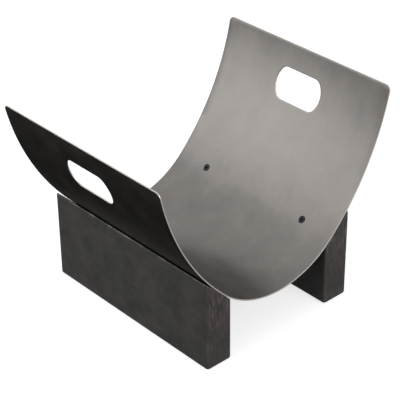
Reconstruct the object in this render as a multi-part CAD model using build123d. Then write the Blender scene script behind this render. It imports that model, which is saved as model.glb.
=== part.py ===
from build123d import *
import os
from math import cos, degrees, radians, sin, sqrt, tan

os.makedirs("parts", exist_ok=True)

# A log holder: one steel sheet, rolled to a trough, screwed down on two bevelled boards.
# X runs across the trough, Y along the logs with the front at -Y, and Z up from the floor.
# The origin is on the floor, under the middle of the trough.

# Rolled steel tray, bends measured at the middle of the sheet's thickness
tray_depth = 350.0
sheet_thickness = 2.0
belly_radius = 160.0
belly_slope = 45.0            # slope of the sheet where the belly turns into a wing
wing_radius = 420.0
rim_slope = 79.0              # slope of the sheet at the rim
belly_clearance = 73.0        # underside of the belly above the floor
rim_corner_radius = 9.0

# Hand slot in each wing, sizes in the plane of the sheet
slot_length = 96.0
slot_height = 54.0
slot_corner_radius = 15.0
slot_end_radius = 36.0        # bow of the two short sides
slot_below_rim = 40.0         # from the rim to the upper edge of the slot

# Boards on edge that carry the tray, their tops bevelled to lie along the sheet
board_thickness = 48.0
board_end_overhang = 1.5      # how far each end of a board stands past the sheet
board_upright_arris_radius = 5.0
board_top_arris_radius = 1.2
board_bottom_arris_radius = 3.0
seat_to_inner_face = 14.5     # from the line that carries the sheet to the board's inner face
seat_gap = 0.2

# Countersunk socket screws and the threaded inserts that they run into
screw_diameter = 6.0
screw_length = 20.0
screw_head_diameter = 12.0
screw_head_land = 0.4         # short cylinder above the cone of the head
screw_sink = 0.15             # top of the head below the surface of the sheet
screw_tip_chamfer = 0.8
socket_across_flats = 4.0
socket_depth = 2.2
screw_hole_clearance = 0.6
screw_from_end = 65.0         # from the end of the sheet to the screw
insert_diameter = 9.5
insert_length = 12.0
insert_sink = 3.4             # top of the insert below the bevel
insert_bore_clearance = 0.1
insert_rib_depth = 0.5
insert_rib_count = 5
insert_fit = 0.2
pocket_spare_depth = 4.0      # drilled past the tip of the screw

# Felt pads let into the underside of each board
pad_diameter = 28.0
pad_thickness = 3.0
pad_proud = 1.0               # how far the felt stands out of the board
pad_edge_radius = 0.6
pad_from_end = 40.0           # from the end of the board to the middle of the pad
pad_fit = 0.3

half_sheet = sheet_thickness / 2
cut_reach = 10 * sheet_thickness      # how far a cutter stands clear of the sheet on each side
belly_centre_z = belly_clearance + half_sheet + belly_radius
board_length = tray_depth + 2 * board_end_overhang
board_bottom = pad_proud
screw_places = [-(tray_depth / 2 - screw_from_end), tray_depth / 2 - screw_from_end]
pad_places = [-(board_length / 2 - pad_from_end), board_length / 2 - pad_from_end]


def sheet_point(slope, offset=0.0):
    """Point of the right half of the section where the sheet has this slope in degrees.

    The belly and the wing are two tangent arcs; offset is measured along the
    outward normal, so +half_sheet is the underside and -half_sheet the inside.
    """
    radius = belly_radius + offset
    angle = radians(min(slope, belly_slope))
    x = radius * sin(angle)
    z = belly_centre_z - radius * cos(angle)
    if slope > belly_slope:
        radius = wing_radius + offset
        x += radius * (sin(radians(slope)) - sin(angle))
        z += radius * (cos(angle) - cos(radians(slope)))
    return Vector(x, 0, z)


def mirrored(point):
    return Vector(-point.X, point.Y, point.Z)


def half_skin(offset, side):
    """Belly and wing arcs of one side, from the bottom up to the rim."""
    place = mirrored if side < 0 else (lambda point: point)
    bottom, bend, rim = (place(sheet_point(s, offset)) for s in (0, belly_slope, rim_slope))
    belly_middle = place(sheet_point(belly_slope / 2, offset))
    wing_middle = place(sheet_point((belly_slope + rim_slope) / 2, offset))
    return [ThreePointArc(bottom, belly_middle, bend), ThreePointArc(bend, wing_middle, rim)]


def wing_plane(below_rim, side):
    """Plane in the sheet at a distance below the rim; its x runs along the rim, its z outwards."""
    slope = rim_slope - degrees(below_rim / wing_radius)
    normal = Vector(side * sin(radians(slope)), 0, -cos(radians(slope)))
    point = sheet_point(slope)
    return Plane(origin=(side * point.X, 0, point.Z), x_dir=(0, 1, 0), z_dir=normal)


def seat_plane(side, y, offset):
    """Plane on the line where the sheet rests on a board, with its z into the board."""
    point = sheet_point(belly_slope, offset)
    normal = Vector(side * sin(radians(belly_slope)), 0, -cos(radians(belly_slope)))
    return Plane(origin=(side * point.X, y, point.Z), x_dir=(0, 1, 0), z_dir=normal)


def slot_outline():
    """Long hole with straight long edges, bowed short ends and rounded corners."""
    bow_centre = slot_length / 2 - slot_end_radius
    corner_y = slot_height / 2 - slot_corner_radius
    reach = slot_end_radius - slot_corner_radius
    corner_x = bow_centre + sqrt(reach**2 - corner_y**2)
    along = Vector(corner_x - bow_centre, corner_y, 0).normalized()
    quarter = Vector(0, 1, 0)
    middle = (along + quarter).normalized()
    corner = Vector(corner_x, corner_y, 0)
    top = corner + quarter * slot_corner_radius
    crown = corner + middle * slot_corner_radius
    meet = corner + along * slot_corner_radius
    end = Vector(slot_length / 2, 0, 0)

    def flipped(point, fx, fy):
        return Vector(fx * point.X, fy * point.Y, 0)

    edges = []
    for fx in (1, -1):
        for fy in (1, -1):
            points = [flipped(p, fx, fy) for p in (top, crown, meet)]
            edges.append(ThreePointArc(*points))
        edges.append(ThreePointArc(flipped(meet, fx, 1), flipped(end, fx, 1), flipped(meet, fx, -1)))
    for fy in (1, -1):
        edges.append(Line(flipped(top, 1, fy), flipped(top, -1, fy)))
    return make_face(Wire(edges))


def make_tray():
    edges = []
    for side in (1, -1):
        edges += half_skin(half_sheet, side) + half_skin(-half_sheet, side)
        inner, outer = sheet_point(rim_slope, -half_sheet), sheet_point(rim_slope, half_sheet)
        if side < 0:
            inner, outer = mirrored(inner), mirrored(outer)
        edges.append(Line(inner, outer))
    section = make_face(Wire(edges))
    sheet = extrude(section, amount=tray_depth / 2, dir=(0, 1, 0), both=True)
    rim_edges = [
        edge for edge in sheet.edges().filter_by(GeomType.LINE)
        if edge.center().Z > sheet_point(rim_slope).Z - sheet_thickness
        and abs(edge.length - sheet_thickness) < sheet_thickness / 10
    ]
    sheet = fillet(rim_edges, rim_corner_radius)
    for side in (1, -1):
        below_rim = slot_below_rim + slot_height / 2
        outline = wing_plane(below_rim, side) * slot_outline()
        sheet -= extrude(outline, amount=cut_reach, both=True)
        for y in screw_places:
            sheet -= countersink(side, y)
    return sheet


def countersink(side, y):
    """Cone that clears the screw head, on through the sheet, open above it."""
    mouth = screw_head_diameter + screw_hole_clearance
    hole = screw_diameter + screw_hole_clearance
    depth = (mouth - hole) / 2
    land = screw_head_land + screw_sink
    profile = Polyline(
        (0, -cut_reach), (mouth / 2, -cut_reach), (mouth / 2, land), (hole / 2, land + depth),
        (hole / 2, cut_reach), (0, cut_reach), close=True,
    )
    return seat_plane(side, y, -half_sheet) * turned(profile)


def turned(profile):
    """Solid of revolution: the profile's x is the radius and its y the depth along the axis."""
    upright = Plane.XZ * make_face(profile)
    return revolve(upright, Axis.Z)


def make_board(side):
    slope = tan(radians(belly_slope))
    seat = sheet_point(belly_slope, half_sheet + seat_gap)
    inner_x = seat.X - seat_to_inner_face
    outer_x = inner_x + board_thickness
    section = Polyline(
        (side * inner_x, 0, board_bottom), (side * outer_x, 0, board_bottom),
        (side * outer_x, 0, seat.Z + slope * (outer_x - seat.X)),
        (side * inner_x, 0, seat.Z + slope * (inner_x - seat.X)), close=True,
    )
    board = extrude(make_face(section), amount=board_length / 2, dir=(0, 1, 0), both=True)
    board = fillet(board.edges().filter_by(Axis.Z), board_upright_arris_radius)
    bevel = board.faces().sort_by(Axis.Z)[-1]
    board = fillet(bevel.edges(), board_top_arris_radius)
    board = fillet(board.edges().group_by(Axis.Z)[0], board_bottom_arris_radius)
    for y in screw_places:
        depth = screw_length + pocket_spare_depth
        pocket = Cylinder((insert_diameter + insert_fit) / 2, 2 * depth)
        board -= seat_plane(side, y, half_sheet + seat_gap) * pocket
    for y in pad_places:
        recess = Cylinder((pad_diameter + pad_fit) / 2, 2 * (pad_thickness - pad_proud))
        board -= Pos(side * board_middle(), y, board_bottom) * recess
    return board


def board_middle():
    seat = sheet_point(belly_slope, half_sheet + seat_gap)
    return seat.X - seat_to_inner_face + board_thickness / 2


def make_screw(side, y):
    head, shank = screw_head_diameter / 2, screw_diameter / 2
    cone_end = screw_sink + screw_head_land + head - shank
    tip = screw_sink + screw_length
    profile = Polyline(
        (0, screw_sink), (head, screw_sink), (head, screw_sink + screw_head_land), (shank, cone_end),
        (shank, tip - screw_tip_chamfer), (shank - screw_tip_chamfer, tip), (0, tip), close=True,
    )
    socket_radius = socket_across_flats / 2
    socket = extrude(
        Plane.XY.offset(screw_sink) * RegularPolygon(socket_radius, 6, major_radius=False),
        amount=socket_depth,
    )
    return seat_plane(side, y, -half_sheet) * (turned(profile) - socket)


def make_insert(side, y):
    bore = (screw_diameter + insert_bore_clearance) / 2
    crest = insert_diameter / 2
    root = crest - insert_rib_depth
    pitch = insert_length / (insert_rib_count + 0.5)
    points = [(bore, insert_sink), (crest, insert_sink)]
    for rib in range(insert_rib_count):
        start = insert_sink + rib * pitch
        points += [(crest, start + pitch / 2), (root, start + pitch / 2)]
        points += [(root, start + pitch), (crest, start + pitch)]
    points += [(crest, insert_sink + insert_length), (bore, insert_sink + insert_length)]
    return seat_plane(side, y, half_sheet + seat_gap) * turned(Polyline(*points, close=True))


def make_pad(side, y):
    pad = Pos(side * board_middle(), y, pad_thickness / 2) * Cylinder(pad_diameter / 2, pad_thickness)
    return fillet(pad.edges().group_by(Axis.Z)[0], pad_edge_radius)


def save(piece, node):
    piece.label = node
    export_step(piece, os.path.join("parts", node + ".step"))


save(make_tray(), "tray")
for side, side_name in ((-1, "left"), (1, "right")):
    save(make_board(side), side_name + "_board")
    for screw_y, pad_y, end_name in zip(screw_places, pad_places, ("front", "back")):
        save(make_screw(side, screw_y), f"{side_name}_{end_name}_screw")
        save(make_insert(side, screw_y), f"{side_name}_{end_name}_insert")
        save(make_pad(side, pad_y), f"{side_name}_{end_name}_felt_pad")
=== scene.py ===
import bpy
import bmesh
import numpy as np
from mathutils import Matrix, Vector


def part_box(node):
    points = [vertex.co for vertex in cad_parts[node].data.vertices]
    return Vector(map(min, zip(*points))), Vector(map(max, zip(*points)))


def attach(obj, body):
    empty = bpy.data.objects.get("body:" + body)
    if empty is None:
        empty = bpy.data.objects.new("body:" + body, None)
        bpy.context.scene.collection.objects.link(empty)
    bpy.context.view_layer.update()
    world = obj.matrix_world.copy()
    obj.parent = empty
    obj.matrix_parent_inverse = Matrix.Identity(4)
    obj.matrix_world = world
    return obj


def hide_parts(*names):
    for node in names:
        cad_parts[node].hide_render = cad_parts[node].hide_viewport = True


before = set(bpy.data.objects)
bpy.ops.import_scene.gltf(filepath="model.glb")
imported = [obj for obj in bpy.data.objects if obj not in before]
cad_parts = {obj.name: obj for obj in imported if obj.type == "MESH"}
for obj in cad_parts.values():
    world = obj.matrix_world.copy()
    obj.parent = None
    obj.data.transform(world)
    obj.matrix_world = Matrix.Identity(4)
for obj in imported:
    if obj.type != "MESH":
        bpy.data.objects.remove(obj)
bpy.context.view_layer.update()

# Camera
# A long lens about 2.2 m off, at the front left corner and looking down by a third of a right angle,
# so that the outside of the left wing and the inside of the right wing both show.
camera_place = Vector((-1.2762, -1.4262, 1.3300))
camera_azimuth = np.radians(41.80)
camera_fall = np.radians(31.55)
camera_roll = np.radians(-0.65)
camera_sensor_mm, camera_lens_mm = 36.0, 130.5

camera_data = bpy.data.cameras.new("camera")
camera_data.sensor_width = camera_sensor_mm
camera_data.lens = camera_lens_mm
camera = bpy.data.objects.new("camera", camera_data)
bpy.context.scene.collection.objects.link(camera)
bpy.context.scene.camera = camera
ahead = Vector((
    np.sin(camera_azimuth) * np.cos(camera_fall),
    np.cos(camera_azimuth) * np.cos(camera_fall),
    -np.sin(camera_fall),
))
level = Vector((np.cos(camera_azimuth), -np.sin(camera_azimuth), 0.0))
upright = level.cross(ahead)
right = level * np.cos(camera_roll) + upright * np.sin(camera_roll)
above = upright * np.cos(camera_roll) - level * np.sin(camera_roll)
camera_turn = Matrix((right, above, -ahead)).transposed().to_4x4()
camera.matrix_world = Matrix.Translation(camera_place) @ camera_turn

# Tray
# One sheet of 2 mm hot-rolled steel, laser-cut with a hand slot in each wing, rolled to a trough,
# blackened and waxed. Its cut edges are bare and pale. Four countersunk holes take the screws.
sheet_thickness = 0.002
belly_radius = 0.160
belly_slope = np.radians(45.0)
wing_radius = 0.420
rim_slope = np.radians(79.0)
belly_clearance = 0.073
tray_front, tray_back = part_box("tray")[0].y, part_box("tray")[1].y
half_depth = (tray_back - tray_front) / 2
rim_corner_radius = 0.009
edge_round = 0.0003
weld_distance = 1e-6

half_sheet = sheet_thickness / 2
belly_centre_z = belly_clearance + half_sheet + belly_radius
belly_half_length = belly_radius * belly_slope
half_length = belly_half_length + wing_radius * (rim_slope - belly_slope)


def rolled(flat):
    """Point of the rolled sheet for each flat point.

    A flat point is (s, y, w): s runs along the sheet from the middle of the belly, y along the
    trough, and w is the height off mid-thickness, positive outwards. The slope is s over the belly
    radius as far as the wing, then grows by one over the wing radius, and x and z are the sums of
    the two circular arcs of those radii plus w.
    """
    s, y, w = np.moveaxis(flat, -1, 0)
    run = np.abs(s)
    slope = np.where(run < belly_half_length, run / belly_radius,
                     belly_slope + (run - belly_half_length) / wing_radius)
    first = np.minimum(slope, belly_slope)
    x = (belly_radius + w) * np.sin(first) + (wing_radius + w) * (np.sin(slope) - np.sin(first))
    z = belly_centre_z - (belly_radius + w) * np.cos(first) \
        + (wing_radius + w) * (np.cos(first) - np.cos(slope))
    return np.stack([np.sign(s) * x, y, z], -1)


def grid_quads(rows, columns, start):
    """Corner numbers of the quads of a grid whose vertices are numbered row by row from start."""
    corner = start + np.arange(rows - 1)[:, None] * columns + np.arange(columns - 1)[None, :]
    return np.stack([corner, corner + 1, corner + columns + 1, corner + columns], -1).reshape(-1, 4)


def mesh_of(name, patches, materials):
    """Joins patches of (places, plan, material number) into one closed mesh with faces outwards.

    Places are grids of points, and plan holds the two flat coordinates of each, which become its UV
    map in metres. Points of neighbouring patches that meet are merged.
    """
    points, quads, plans, numbers = [], [], [], []
    start = 0
    for places, plan, number in patches:
        rows, columns = places.shape[:2]
        faces = grid_quads(rows, columns, start)
        points.append(places.reshape(-1, 3))
        plans.append(plan.reshape(-1, 2))
        quads.append(faces)
        numbers.append(np.full(len(faces), number))
        start += rows * columns
    points, plans = np.concatenate(points), np.concatenate(plans)
    quads, numbers = np.concatenate(quads), np.concatenate(numbers)
    mesh = bpy.data.meshes.new(name)
    mesh.from_pydata(points, [], quads)
    mesh.polygons.foreach_set("material_index", numbers)
    mesh.polygons.foreach_set("use_smooth", np.ones(len(quads), bool))
    uv_map = mesh.uv_layers.new(name="flat")
    uv_map.data.foreach_set("uv", plans[quads].reshape(-1))
    shape = bmesh.new()
    shape.from_mesh(mesh)
    bmesh.ops.remove_doubles(shape, verts=shape.verts, dist=weld_distance)
    bmesh.ops.recalc_face_normals(shape, faces=shape.faces)
    shape.to_mesh(mesh)
    shape.free()
    for material in materials:
        mesh.materials.append(material)
    piece = bpy.data.objects.new(name, mesh)
    bpy.context.scene.collection.objects.link(piece)
    return piece


# The slot in the flat: straight long edges, bowed short ends, rounded corners.
slot_length = 0.096
slot_height = 0.054
slot_corner_radius = 0.015
slot_end_radius = 0.036
slot_below_rim = 0.040
slot_middle_s = half_length - slot_below_rim - slot_height / 2


def slot_reach(angle, grow):
    """Distance from the middle of the slot to its edge, moved into the metal by grow.

    One quarter is a straight edge, a corner arc and an end arc, each offset by grow. It is sampled
    finely as points, turned to polar form and read off at the wanted angles, which are folded into
    that quarter.
    """
    samples = 200
    half_height, half_slot = slot_height / 2 + grow, slot_length / 2 + grow
    corner, end = slot_corner_radius + grow, slot_end_radius + grow
    corner_height = half_height - corner
    bow_centre = half_slot - end
    corner_along = bow_centre + np.sqrt((end - corner) ** 2 - corner_height ** 2)
    meet = np.arctan2(corner_height, corner_along - bow_centre)
    straight = np.stack([np.linspace(0, corner_along, samples), np.full(samples, half_height)], -1)
    turn = np.linspace(np.pi / 2, meet, samples)
    rounded = np.stack([corner_along + corner * np.cos(turn),
                        corner_height + corner * np.sin(turn)], -1)
    turn = np.linspace(meet, 0, samples)
    bowed = np.stack([bow_centre + end * np.cos(turn), end * np.sin(turn)], -1)
    along, across = np.concatenate([straight, rounded, bowed])[::-1].T
    folded = np.arctan2(np.abs(np.sin(angle)), np.abs(np.cos(angle)))
    return np.interp(folded, np.arctan2(across, along), np.hypot(along, across))


# Stations of the flat sheet. Some fall on the sides of the square patches round the screw holes, and
# those at the end of the belly panel are shared with the wing panels, so that all patches meet
# point to point.
screw_half_patch = 0.012
screw_y = sum(corner.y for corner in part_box("left_back_screw")) / 2
belly_panel_s = 0.200
step_s, step_y, wing_step_s = 0.0040, 0.0034, 0.0050
plain_depth = half_depth - edge_round


def stations(keys, step):
    """Evenly spaced stations between neighbouring keys, at most one step apart."""
    spans = [np.linspace(a, b, int(np.ceil((b - a) / step)) + 1)[:-1] for a, b in zip(keys, keys[1:])]
    return np.concatenate(spans + [keys[-1:]])


half_keys_y = np.array([screw_y - screw_half_patch, screw_y + screw_half_patch, plain_depth])
half_keys_s = np.array([
    belly_half_length - screw_half_patch, belly_half_length + screw_half_patch, belly_panel_s])
stations_y = stations(np.concatenate([-half_keys_y[::-1], half_keys_y]), step_y)
stations_s = stations(np.concatenate([-half_keys_s[::-1], half_keys_s]), step_s)

# Cut edge across the thickness: how far each row is set back, and its height off mid-thickness.
edge_turn = np.radians([-90, -60, -30, 0, 0, 30, 60, 90])
edge_side = np.array([-1, -1, -1, -1, 1, 1, 1, 1])
edge_set_back = edge_round * (1 - np.cos(edge_turn))
edge_height = edge_side * (half_sheet - edge_round) + edge_round * np.sin(edge_turn)

# Places of the two steel finishes in the tray's list of materials.
skin_number, cut_number = 0, 1
tray_patches = []


def add_flat(s, y, w, number):
    """Adds a patch of the sheet given by its flat coordinates, which broadcast to one grid."""
    flat = np.stack(np.broadcast_arrays(s, y, w), -1)
    tray_patches.append((rolled(flat), flat[..., :2], number))


def add_edge(s, y, out_s, out_y):
    """Adds the rounded cut edge along a line of flat points. (out_s, out_y) points out of the metal."""
    reach = edge_round - edge_set_back[:, None]
    add_flat(s[None] + out_s[None] * reach, y[None] + out_y[None] * reach, edge_height[:, None],
             cut_number)


def add_holed(s, y, middle_s, middle_y, reach_inside, reach_outside, rows):
    """Adds the ring of sheet between a loop of flat points and a hole, on both sides of the sheet.

    Each row lies a fixed share of the way from the edge of the hole to the loop, along rays from
    the middle of the hole. The shares are even steps raised to a power, so that the rows are closer
    together near the hole.
    """
    crowding = 1.3
    angle = np.arctan2(s - middle_s, y - middle_y)
    share = np.linspace(0, 1, rows)[:, None] ** crowding
    for side, reach in ((-1, reach_inside), (1, reach_outside)):
        hole_s = middle_s + reach(angle) * np.sin(angle)
        hole_y = middle_y + reach(angle) * np.cos(angle)
        add_flat(hole_s + (s - hole_s) * share, hole_y + (y - hole_y) * share, side * half_sheet,
                 skin_number)
    return angle


# The belly panel, with a square left out round each screw hole.
hole_s_range = np.abs(np.abs(stations_s) - belly_half_length) < screw_half_patch + weld_distance
hole_y_range = np.abs(np.abs(stations_y) - screw_y) < screw_half_patch + weld_distance


def runs(inside):
    """First and last index of each unbroken run of stations that lie inside a hole patch."""
    numbers = np.flatnonzero(inside)
    breaks = np.flatnonzero(np.diff(numbers) > 1)
    return list(zip(numbers[np.r_[0, breaks + 1]], numbers[np.r_[breaks, len(numbers) - 1]]))


s_runs, y_runs = runs(hole_s_range), runs(hole_y_range)
s_cuts = sorted({0, len(stations_s) - 1, *[i for run in s_runs for i in run]})
y_cuts = sorted({0, len(stations_y) - 1, *[i for run in y_runs for i in run]})
for s_first, s_last in zip(s_cuts, s_cuts[1:]):
    for y_first, y_last in zip(y_cuts, y_cuts[1:]):
        if (s_first, s_last) in s_runs and (y_first, y_last) in y_runs:
            continue
        for side in (-1, 1):
            add_flat(stations_s[s_first:s_last + 1, None], stations_y[None, y_first:y_last + 1],
                     side * half_sheet, skin_number)
for way in (-1, 1):
    add_edge(stations_s, np.full_like(stations_s, way * plain_depth), 0 * stations_s,
             way + 0 * stations_s)

# Screw holes: from a rounded mouth inside the trough, a short straight land and then a cone of 45
# degrees to a side, as far as the underside.
hole_mouth = 0.0063
hole_land = 0.00055
hole_back = hole_mouth - (sheet_thickness - hole_land)
hole_rows = 8
mouth_round = 0.0002
round_middle = 0.3 * mouth_round
for s_first, s_last in s_runs:
    for y_first, y_last in y_runs:
        low_s, high_s = stations_s[s_first], stations_s[s_last]
        low_y, high_y = stations_y[y_first], stations_y[y_last]
        patch_s, patch_y = stations_s[s_first:s_last + 1], stations_y[y_first:y_last + 1]
        loop_s = np.concatenate([
            0 * patch_y[:-1] + low_s, patch_s[:-1], 0 * patch_y[:0:-1] + high_s, patch_s[::-1]])
        loop_y = np.concatenate([
            patch_y[:-1], 0 * patch_s[:-1] + high_y, patch_y[:0:-1], 0 * patch_s + low_y])
        middle_s, middle_y = (low_s + high_s) / 2, (low_y + high_y) / 2
        angle = add_holed(loop_s, loop_y, middle_s, middle_y,
                          lambda turn: hole_mouth + mouth_round + 0 * turn,
                          lambda turn: hole_back + 0 * turn, hole_rows)
        reach = np.array([hole_mouth + mouth_round, hole_mouth + round_middle, hole_mouth,
                          hole_mouth, hole_back])[:, None]
        height = np.array([-half_sheet, -half_sheet + round_middle, -half_sheet + mouth_round,
                           -half_sheet + hole_land, half_sheet])[:, None]
        add_flat(middle_s + reach * np.sin(angle), middle_y + reach * np.cos(angle), height,
                 cut_number)

# The two wing panels, each a ring between its slot and its outline with two rounded corners. The
# open line runs up the back side, round one corner, along the rim, round the other corner and down
# the front side.
corner_inner = rim_corner_radius - edge_round
corner_points, slot_rows = 9, 14
rim_s = half_length - edge_round
side_s = stations(np.array([belly_panel_s, rim_s - corner_inner]), wing_step_s)
quarter = np.linspace(0, np.pi / 2, corner_points)
rim_y = stations(np.array([-(plain_depth - corner_inner), plain_depth - corner_inner]), step_y)[::-1]
corner_s = rim_s - corner_inner + corner_inner * np.sin(quarter)
corner_y = plain_depth - corner_inner + corner_inner * np.cos(quarter)
open_s = np.concatenate([
    side_s[:-1], corner_s[:-1], 0 * rim_y[:-1] + rim_s, corner_s[::-1], side_s[-2::-1]])
open_y = np.concatenate([
    0 * side_s[:-1] + plain_depth, corner_y[:-1], rim_y[:-1], -corner_y[::-1],
    0 * side_s[-2::-1] - plain_depth])
out_s = np.concatenate([
    0 * side_s[:-1], np.sin(quarter)[:-1], 1 + 0 * rim_y[:-1], np.sin(quarter)[::-1],
    0 * side_s[-2::-1]])
out_y = np.concatenate([
    1 + 0 * side_s[:-1], np.cos(quarter)[:-1], 0 * rim_y[:-1], -np.cos(quarter)[::-1],
    0 * side_s[-2::-1] - 1])
for way in (-1, 1):
    add_edge(way * open_s, open_y, way * out_s, out_y)
    loop_s = np.concatenate([open_s, 0 * stations_y[1:] + belly_panel_s])
    loop_y = np.concatenate([open_y, stations_y[1:]])
    angle = add_holed(way * loop_s, loop_y, way * slot_middle_s, 0.0,
                      lambda turn: slot_reach(turn, edge_round),
                      lambda turn: slot_reach(turn, edge_round), slot_rows)
    reach = np.stack([slot_reach(angle, set_back) for set_back in edge_set_back])
    add_flat(way * slot_middle_s + reach * np.sin(angle), reach * np.cos(angle), edge_height[:, None],
             cut_number)


def colour(code):
    """Linear colour with full alpha, from an sRGB hex code, by the sRGB curve: a straight foot, then a
    power."""
    value = np.array([int(code[i:i + 2], 16) for i in (1, 3, 5)]) / 255
    linear = np.where(value <= 0.04045, value / 12.92, ((value + 0.055) / 1.055) ** 2.4)
    return (*linear, 1.0)


def new_material(name):
    """Material with an empty node tree."""
    material = bpy.data.materials.new(name)
    material.use_nodes = True
    material.node_tree.nodes.clear()
    return material


def add_node(tree, kind, inputs=None, **settings):
    """Adds a node. Settings are its own properties, and inputs its sockets by name or number, each
    given a value, an output of another node, or a node, which stands for its first output."""
    node = tree.nodes.new(kind)
    for name, value in settings.items():
        setattr(node, name, value)
    for name, value in (inputs or {}).items():
        if isinstance(value, bpy.types.Node):
            value = value.outputs[0]
        if isinstance(value, bpy.types.NodeSocket):
            tree.links.new(value, node.inputs[name])
        else:
            node.inputs[name].default_value = value
    return node


# Hot-rolled sheet with its mill scale blackened and waxed: a mid-grey, faintly warm metal with a
# satin, cloudy sheen. The rolls leave faint bands along the sheet, and rolling it to a trough leaves
# it very slightly wavy. The grit of the scale is 0.5 mm in truth and drawn three times as coarse.
blackened_steel = new_material("blackened_steel")
tree = blackened_steel.node_tree
cloud_size = 0.050
band_width, band_length = 0.010, 0.200
wave_size, wave_height = 0.090, 0.0006
grit_size, grit_height = 0.0015, 0.000012
flat_place = add_node(tree, "ShaderNodeUVMap", uv_map="flat")
clouds = add_node(tree, "ShaderNodeTexNoise", {
    "Vector": flat_place, "Scale": 1 / cloud_size, "Detail": 4.0, "Roughness": 0.6})
banded_place = add_node(tree, "ShaderNodeMapping", {
    "Vector": flat_place, "Scale": (1 / band_length, 1 / band_width, 1.0)})
bands = add_node(tree, "ShaderNodeTexNoise", {"Vector": banded_place, "Scale": 1.0, "Detail": 3.0})
waves = add_node(tree, "ShaderNodeTexNoise", {
    "Vector": flat_place, "Scale": 1 / wave_size, "Detail": 1.0})
grit = add_node(tree, "ShaderNodeTexNoise", {
    "Vector": flat_place, "Scale": 1 / grit_size, "Detail": 2.0})
cloud_tone = add_node(tree, "ShaderNodeValToRGB", {"Fac": clouds})
cloud_tone.color_ramp.elements[0].position = 0.30
cloud_tone.color_ramp.elements[0].color = colour("#757270")
cloud_tone.color_ramp.elements[1].position = 0.70
cloud_tone.color_ramp.elements[1].color = colour("#84807c")
band_tone = add_node(tree, "ShaderNodeMapRange", {
    "Value": bands, "From Min": 0.25, "From Max": 0.75, "To Min": 0.975, "To Max": 1.02})
tone = add_node(tree, "ShaderNodeVectorMath", {0: cloud_tone, 1: band_tone}, operation="MULTIPLY")
roughness = add_node(tree, "ShaderNodeMapRange", {
    "Value": clouds, "From Min": 0.3, "From Max": 0.7, "To Min": 0.36, "To Max": 0.43})
relief = add_node(tree, "ShaderNodeBump", {
    "Height": waves, "Strength": 1.0, "Distance": wave_height})
relief = add_node(tree, "ShaderNodeBump", {
    "Height": grit, "Strength": 1.0, "Distance": grit_height, "Normal": relief})
shader = add_node(tree, "ShaderNodeBsdfPrincipled", {
    "Base Color": tone, "Metallic": 1.0, "Roughness": roughness, "Normal": relief})
add_node(tree, "ShaderNodeOutputMaterial", {"Surface": shader})

# Bare laser-cut edge: pale grey steel, dull from striations that run across the thickness. They are
# 0.2 mm apart in truth and drawn at 0.8 mm. A Mix node has its two colours at inputs 6 and 7 and the
# mixed one at output 2.
cut_steel = new_material("cut_steel")
tree = cut_steel.node_tree
striation_width, striation_height = 0.0008, 0.00003
flat_place = add_node(tree, "ShaderNodeUVMap", uv_map="flat")
striations = add_node(tree, "ShaderNodeTexNoise", {
    "Vector": flat_place, "Scale": 1 / striation_width, "Detail": 1.0})
tone = add_node(tree, "ShaderNodeMix", {
    "Factor": striations, 6: colour("#b4aea8"), 7: colour("#dcd6d0")}, data_type="RGBA")
relief = add_node(tree, "ShaderNodeBump", {"Height": striations, "Distance": striation_height})
shader = add_node(tree, "ShaderNodeBsdfPrincipled", {
    "Base Color": tone.outputs[2], "Metallic": 1.0, "Roughness": 0.38, "Normal": relief})
add_node(tree, "ShaderNodeOutputMaterial", {"Surface": shader})

tray = mesh_of("rolled_tray", tray_patches, [blackened_steel, cut_steel])
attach(tray, "root")
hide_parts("tray")

# Boards
# Two solid softwood boards on edge, 48 mm thick, their tops sawn to a 45 degree bevel and all arrises
# eased. They are stained black and oiled, so the grain shows only faintly, and worn on the arrises,
# where a painted highlight is added to the wear.
board_low, board_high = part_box("right_board")
inner_face, outer_face, end_face = board_low.x, board_high.x, board_high.y
bevel_top = board_high.z
ring_spacing, ring_share_along = 0.0040, 0.12
pith_x, pith_z = 0.010, 0.050
streak_width, streak_length = 0.0011, 0.045
blotch_size, patch_size = 0.032, 0.110
grain_height = 0.00012
pale_arris_width = 0.0030
scuff_width, scuff_length = 0.0018, 0.022
scuffs_few_below, scuffs_full_above = 0.060, 0.110

stained_board = new_material("stained_board")
tree = stained_board.node_tree
place = add_node(tree, "ShaderNodeTexCoord").outputs["Object"]
axes = add_node(tree, "ShaderNodeSeparateXYZ", {"Vector": place})
off_x = add_node(tree, "ShaderNodeMath", {0: axes.outputs["X"]}, operation="ABSOLUTE")
off_y = add_node(tree, "ShaderNodeMath", {0: axes.outputs["Y"]}, operation="ABSOLUTE")
along, height = axes.outputs["Y"], axes.outputs["Z"]

# Growth rings about a pith that lies under the middle of the holder, so that they stand nearly
# upright on the ends and run along the sides. At scale 1 the wave texture turns by 20 radians to
# the metre. The fine streaks of the grain are about 0.2 mm wide in truth and drawn at 1.1 mm.
ring_place = add_node(tree, "ShaderNodeCombineXYZ", {"X": off_x, "Y": along, "Z": height})
ring_place = add_node(tree, "ShaderNodeMapping", {
    "Vector": ring_place, "Location": (-pith_x, 0.0, -pith_z), "Scale": (1.0, ring_share_along, 1.0)})
rings = add_node(tree, "ShaderNodeTexWave", {
    "Vector": ring_place, "Scale": 2 * np.pi / 20 / ring_spacing, "Distortion": 5.0,
    "Detail": 3.0, "Detail Scale": 0.30}, wave_type="RINGS", rings_direction="Y", wave_profile="SAW")
streak_place = add_node(tree, "ShaderNodeMapping", {
    "Vector": place, "Scale": (1 / streak_width, 1 / streak_length, 1 / streak_width)})
streaks = add_node(tree, "ShaderNodeTexNoise", {"Vector": streak_place, "Scale": 1.0, "Detail": 3.0})

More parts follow.
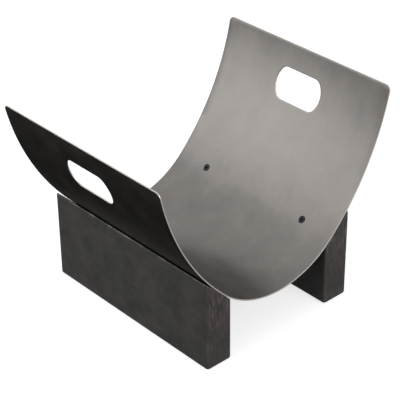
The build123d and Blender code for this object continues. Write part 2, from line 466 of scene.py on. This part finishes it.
# The stain took unevenly: soft blotches, some of them reddish.
blotches = add_node(tree, "ShaderNodeTexNoise", {
    "Vector": place, "Scale": 1 / blotch_size, "Detail": 4.0, "Roughness": 0.62})
blotch_tone = add_node(tree, "ShaderNodeValToRGB", {"Fac": blotches})
blotch_tone.color_ramp.elements[0].position = 0.32
blotch_tone.color_ramp.elements[0].color = colour("#323332")
blotch_tone.color_ramp.elements[1].position = 0.68
blotch_tone.color_ramp.elements[1].color = colour("#4f4d4b")
patches = add_node(tree, "ShaderNodeTexNoise", {
    "Vector": place, "Scale": 1 / patch_size, "Detail": 3.0})
reddish = add_node(tree, "ShaderNodeMapRange", {
    "Value": patches, "From Min": 0.48, "From Max": 0.68, "To Min": 0.0, "To Max": 0.30})
stain = add_node(tree, "ShaderNodeMix", {
    "Factor": reddish, 6: blotch_tone, 7: colour("#4f4243")}, data_type="RGBA")
ring_tone = add_node(tree, "ShaderNodeMapRange", {
    "Value": rings.outputs["Fac"], "To Min": 1.05, "To Max": 0.94})
streak_tone = add_node(tree, "ShaderNodeMapRange", {
    "Value": streaks, "From Min": 0.3, "From Max": 0.7, "To Min": 0.88, "To Max": 1.09})
grain_tone = add_node(tree, "ShaderNodeMath", {0: ring_tone, 1: streak_tone}, operation="MULTIPLY")
stained = add_node(tree, "ShaderNodeVectorMath", {0: stain.outputs[2], 1: grain_tone},
                   operation="MULTIPLY")

# Wear and painted highlight: the middle one of a point's depths below the side, the end and the bevel
# is small only near an arris. There it is painted pale in patches, both as stain rubbed through and as
# the highlight that the arris catches, more so towards the back end.
outer_depth = add_node(tree, "ShaderNodeMath", {0: outer_face, 1: off_x}, operation="SUBTRACT")
inner_depth = add_node(tree, "ShaderNodeMath", {0: off_x, 1: inner_face}, operation="SUBTRACT")
side_depth = add_node(tree, "ShaderNodeMath", {0: outer_depth, 1: inner_depth}, operation="MINIMUM")
end_depth = add_node(tree, "ShaderNodeMath", {0: end_face, 1: off_y}, operation="SUBTRACT")
bevel_depth = add_node(tree, "ShaderNodeMath", {0: off_x, 1: height}, operation="SUBTRACT")
bevel_depth = add_node(tree, "ShaderNodeMath", {0: bevel_depth, 1: bevel_top - outer_face},
                       operation="ADD")
least = add_node(tree, "ShaderNodeMath", {0: side_depth, 1: end_depth}, operation="MINIMUM")
most = add_node(tree, "ShaderNodeMath", {0: side_depth, 1: end_depth}, operation="MAXIMUM")
most = add_node(tree, "ShaderNodeMath", {0: most, 1: bevel_depth}, operation="MINIMUM")
arris_depth = add_node(tree, "ShaderNodeMath", {0: least, 1: most}, operation="MAXIMUM")
near_arris = add_node(tree, "ShaderNodeMapRange", {
    "Value": arris_depth, "From Min": 0.0, "From Max": pale_arris_width, "To Min": 1.0, "To Max": 0.0})
pale_patches = add_node(tree, "ShaderNodeMapRange", {
    "Value": blotches, "From Min": 0.50, "From Max": 0.66, "To Min": 0.05, "To Max": 0.9})
backward = add_node(tree, "ShaderNodeMapRange", {
    "Value": along, "From Min": -0.10, "From Max": 0.06, "To Min": 0.25, "To Max": 1.0})
wear_and_highlight = add_node(tree, "ShaderNodeMath", {0: near_arris, 1: pale_patches}, operation="MULTIPLY")
wear_and_highlight = add_node(tree, "ShaderNodeMath", {0: wear_and_highlight, 1: backward}, operation="MULTIPLY")
# Pale on the arrises: rubbed-through stain together with a painted highlight.
sides = add_node(tree, "ShaderNodeMix", {
    "Factor": wear_and_highlight, 6: stained, 7: colour("#a69b94")}, data_type="RGBA")

# The sawn ends drank more stain, which leaves them a little darker and warmer, and are scuffed pale
# in short upright streaks, most of them in the upper part.
facing = add_node(tree, "ShaderNodeNewGeometry").outputs["Normal"]
facing = add_node(tree, "ShaderNodeSeparateXYZ", {"Vector": facing}).outputs["Y"]
facing = add_node(tree, "ShaderNodeMath", {0: facing}, operation="ABSOLUTE")
on_end = add_node(tree, "ShaderNodeMapRange", {"Value": facing, "From Min": 0.80, "From Max": 0.98})
up_end = add_node(tree, "ShaderNodeMapRange", {
    "Value": height, "From Min": scuffs_few_below, "From Max": scuffs_full_above,
    "To Min": 0.25, "To Max": 1.0})
scuff_place = add_node(tree, "ShaderNodeMapping", {
    "Vector": place, "Scale": (1 / scuff_width, 1 / scuff_length, 1 / scuff_length)})
scuffs = add_node(tree, "ShaderNodeTexNoise", {"Vector": scuff_place, "Scale": 1.0, "Detail": 3.0})
scuffed = add_node(tree, "ShaderNodeMapRange", {
    "Value": scuffs, "From Min": 0.51, "From Max": 0.65, "To Min": 0.0, "To Max": 0.70})
scuffed = add_node(tree, "ShaderNodeMath", {0: scuffed, 1: up_end}, operation="MULTIPLY")
scuffed = add_node(tree, "ShaderNodeMath", {0: scuffed, 1: on_end}, operation="MULTIPLY")
end_tint = add_node(tree, "ShaderNodeMix", {
    "Factor": on_end, 6: colour("#ffffff"), 7: colour("#c8bfbc")}, data_type="RGBA")
tone = add_node(tree, "ShaderNodeMix", {
    "Factor": scuffed, 6: sides.outputs[2], 7: colour("#aaa5a0")}, data_type="RGBA")
tone = add_node(tree, "ShaderNodeVectorMath", {0: tone.outputs[2], 1: end_tint.outputs[2]},
                operation="MULTIPLY")
roughness = add_node(tree, "ShaderNodeMapRange", {
    "Value": blotches, "From Min": 0.3, "From Max": 0.7, "To Min": 0.62, "To Max": 0.50})
grain = add_node(tree, "ShaderNodeMath", {0: rings.outputs["Fac"], 1: streaks}, operation="ADD")
relief = add_node(tree, "ShaderNodeBump", {"Height": grain, "Distance": grain_height})
shader = add_node(tree, "ShaderNodeBsdfPrincipled", {
    "Base Color": tone, "Roughness": roughness, "Normal": relief})
add_node(tree, "ShaderNodeOutputMaterial", {"Surface": shader})


def dress(names, material):
    """Gives each of the named CAD pieces this material alone."""
    for name in names:
        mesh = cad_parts[name].data
        mesh.materials.clear()
        mesh.materials.append(material)


dress(["left_board", "right_board"], stained_board)

# Screws
# Four M6 countersunk socket screws, black oxide and lightly oiled, hold the tray down. They are near
# black, with a soft shine and a faint mottle that is finer in truth and drawn at 1.5 mm.
corners = ["left_front", "left_back", "right_front", "right_back"]
black_oxide = new_material("black_oxide")
tree = black_oxide.node_tree
mottle_size = 0.0015
place = add_node(tree, "ShaderNodeTexCoord").outputs["Object"]
mottle = add_node(tree, "ShaderNodeTexNoise", {
    "Vector": place, "Scale": 1 / mottle_size, "Detail": 3.0})
tone = add_node(tree, "ShaderNodeMix", {
    "Factor": mottle, 6: colour("#232325"), 7: colour("#3a393a")}, data_type="RGBA")
roughness = add_node(tree, "ShaderNodeMapRange", {"Value": mottle, "To Min": 0.28, "To Max": 0.42})
shader = add_node(tree, "ShaderNodeBsdfPrincipled", {
    "Base Color": tone.outputs[2], "Metallic": 1.0, "Roughness": roughness})
add_node(tree, "ShaderNodeOutputMaterial", {"Surface": shader})
dress([f"{corner}_screw" for corner in corners], black_oxide)

# Inserts
# Four threaded brass inserts, turned on a lathe and driven into the bevels of the boards, that the
# screws run into. They are bright, with a little tarnish.
turned_brass = new_material("turned_brass")
tree = turned_brass.node_tree
tarnish_size = 0.004
place = add_node(tree, "ShaderNodeTexCoord").outputs["Object"]
tarnish = add_node(tree, "ShaderNodeTexNoise", {
    "Vector": place, "Scale": 1 / tarnish_size, "Detail": 3.0})
tone = add_node(tree, "ShaderNodeMix", {
    "Factor": tarnish, 6: colour("#b08d4e"), 7: colour("#cfae6a")}, data_type="RGBA")
roughness = add_node(tree, "ShaderNodeMapRange", {"Value": tarnish, "To Min": 0.22, "To Max": 0.36})
shader = add_node(tree, "ShaderNodeBsdfPrincipled", {
    "Base Color": tone.outputs[2], "Metallic": 1.0, "Roughness": roughness})
add_node(tree, "ShaderNodeOutputMaterial", {"Surface": shader})
dress([f"{corner}_insert" for corner in corners], turned_brass)

# Felt pads
# Four discs of pressed wool felt, let into the undersides of the boards and glued. The fibres are
# 0.03 mm thick in truth and drawn as tufts of 0.7 mm.
wool_felt = new_material("wool_felt")
tree = wool_felt.node_tree
tuft_size, tuft_height = 0.0007, 0.0003
place = add_node(tree, "ShaderNodeTexCoord").outputs["Object"]
tufts = add_node(tree, "ShaderNodeTexNoise", {
    "Vector": place, "Scale": 1 / tuft_size, "Detail": 4.0})
tone = add_node(tree, "ShaderNodeMix", {
    "Factor": tufts, 6: colour("#262625"), 7: colour("#4a4846")}, data_type="RGBA")
relief = add_node(tree, "ShaderNodeBump", {"Height": tufts, "Distance": tuft_height})
shader = add_node(tree, "ShaderNodeBsdfPrincipled", {
    "Base Color": tone.outputs[2], "Roughness": 0.95, "Sheen Weight": 0.3, "Normal": relief})
add_node(tree, "ShaderNodeOutputMaterial", {"Surface": shader})
dress([f"{corner}_felt_pad" for corner in corners], wool_felt)

# Floor
# A pale studio floor. The camera sees it white with a soft shadow of the holder. To other rays it is
# dark grey, so that it throws little light up at the black faces, and no glossy ray meets it.
floor_reach = 6.0
floor_corners = [(floor_reach * x, floor_reach * y, 0) for x, y in ((-1, -1), (1, -1), (1, 1), (-1, 1))]
floor_mesh = bpy.data.meshes.new("floor")
floor_mesh.from_pydata(floor_corners, [], [(0, 1, 2, 3)])
floor = bpy.data.objects.new("floor", floor_mesh)
bpy.context.scene.collection.objects.link(floor)
floor.visible_glossy = False
pale_floor = new_material("pale_floor")
tree = pale_floor.node_tree
ray = add_node(tree, "ShaderNodeLightPath")
shaded = add_node(tree, "ShaderNodeBsdfDiffuse", {"Color": colour("#d4d4d4")})
glow = add_node(tree, "ShaderNodeEmission", {"Color": colour("#ffffff"), "Strength": 0.70})
seen = add_node(tree, "ShaderNodeAddShader", {0: shaded, 1: glow})
unseen = add_node(tree, "ShaderNodeBsdfDiffuse", {"Color": colour("#606060")})
shader = add_node(tree, "ShaderNodeMixShader", {
    "Fac": ray.outputs["Is Camera Ray"], 1: unseen, 2: seen})
add_node(tree, "ShaderNodeOutputMaterial", {"Surface": shader})
floor_mesh.materials.append(pale_floor)

# Studio light
# A white backdrop all round, which the camera sees at full white. The steel mirrors it as far down
# as a horizon that is tipped down at the left. Under that it falls off to dark, as a floor in the
# holder's own shade, but stays pale in front. It lights dull faces at a lower level.
horizon_up = (-0.25, 0.0, 1.0)
towards_front = (0.0, -1.0, 0.0)
dark_floor_level, front_floor_level = 0.014, 0.7
dull_level, mirrored_level = 0.55, 1.0

world = bpy.data.worlds.new("studio")
world.use_nodes = True
bpy.context.scene.world = world
tree = world.node_tree
tree.nodes.clear()
ray = add_node(tree, "ShaderNodeLightPath")
way = add_node(tree, "ShaderNodeTexCoord").outputs["Generated"]
rise = add_node(tree, "ShaderNodeVectorMath", {0: way, 1: horizon_up}, operation="DOT_PRODUCT")
backdrop = add_node(tree, "ShaderNodeMapRange", {
    "Value": rise.outputs["Value"], "From Min": -0.20, "From Max": 0.05, "To Min": dark_floor_level,
    "To Max": 1.0}, interpolation_type="SMOOTHSTEP")
forward = add_node(tree, "ShaderNodeVectorMath", {0: way, 1: towards_front}, operation="DOT_PRODUCT")
front_floor = add_node(tree, "ShaderNodeMapRange", {
    "Value": forward.outputs["Value"], "From Min": 0.25, "From Max": 0.55, "To Min": 0.0,
    "To Max": front_floor_level}, interpolation_type="SMOOTHSTEP")
around = add_node(tree, "ShaderNodeMath", {0: backdrop, 1: front_floor}, operation="MAXIMUM")
mirrored = add_node(tree, "ShaderNodeMath", {
    0: ray.outputs["Is Glossy Ray"], 1: ray.outputs["Is Transmission Ray"]}, operation="MAXIMUM")
level = add_node(tree, "ShaderNodeMapRange", {
    "Value": mirrored, "To Min": dull_level, "To Max": mirrored_level})
level = add_node(tree, "ShaderNodeMath", {0: level, 1: around}, operation="MULTIPLY")
strength = add_node(tree, "ShaderNodeMix", {
    "Factor": ray.outputs["Is Camera Ray"], 2: level, 3: 1.0}, data_type="FLOAT")
sky = add_node(tree, "ShaderNodeBackground", {"Color": colour("#ffffff"), "Strength": strength})
add_node(tree, "ShaderNodeOutputWorld", {"Surface": sky})


def add_soft_box(name, place, size, radiance):
    """Square area lamp that faces the holder. Its power is the radiance times pi times its area."""
    data = bpy.data.lights.new(name, "AREA")
    data.shape = "SQUARE"
    data.size = size
    data.energy = radiance * np.pi * size ** 2
    lamp = bpy.data.objects.new(name, data)
    bpy.context.scene.collection.objects.link(lamp)
    lamp.location = place
    ahead = holder_middle - Vector(place)
    lamp.rotation_euler = ahead.to_track_quat("-Z", "Y").to_euler()


# Two soft boxes stand at the left and a third in front.
holder_middle = Vector((0.0, 0.0, 0.2))
add_soft_box("back_left_box", (-1.6, 1.3, 0.9), 1.3, 1.8)
add_soft_box("high_left_box", (-1.3, 0.1, 1.6), 1.4, 1.0)
add_soft_box("front_box", (0.3, -2.4, 1.3), 1.4, 2.7)

bpy.context.scene.view_settings.view_transform = "Standard"
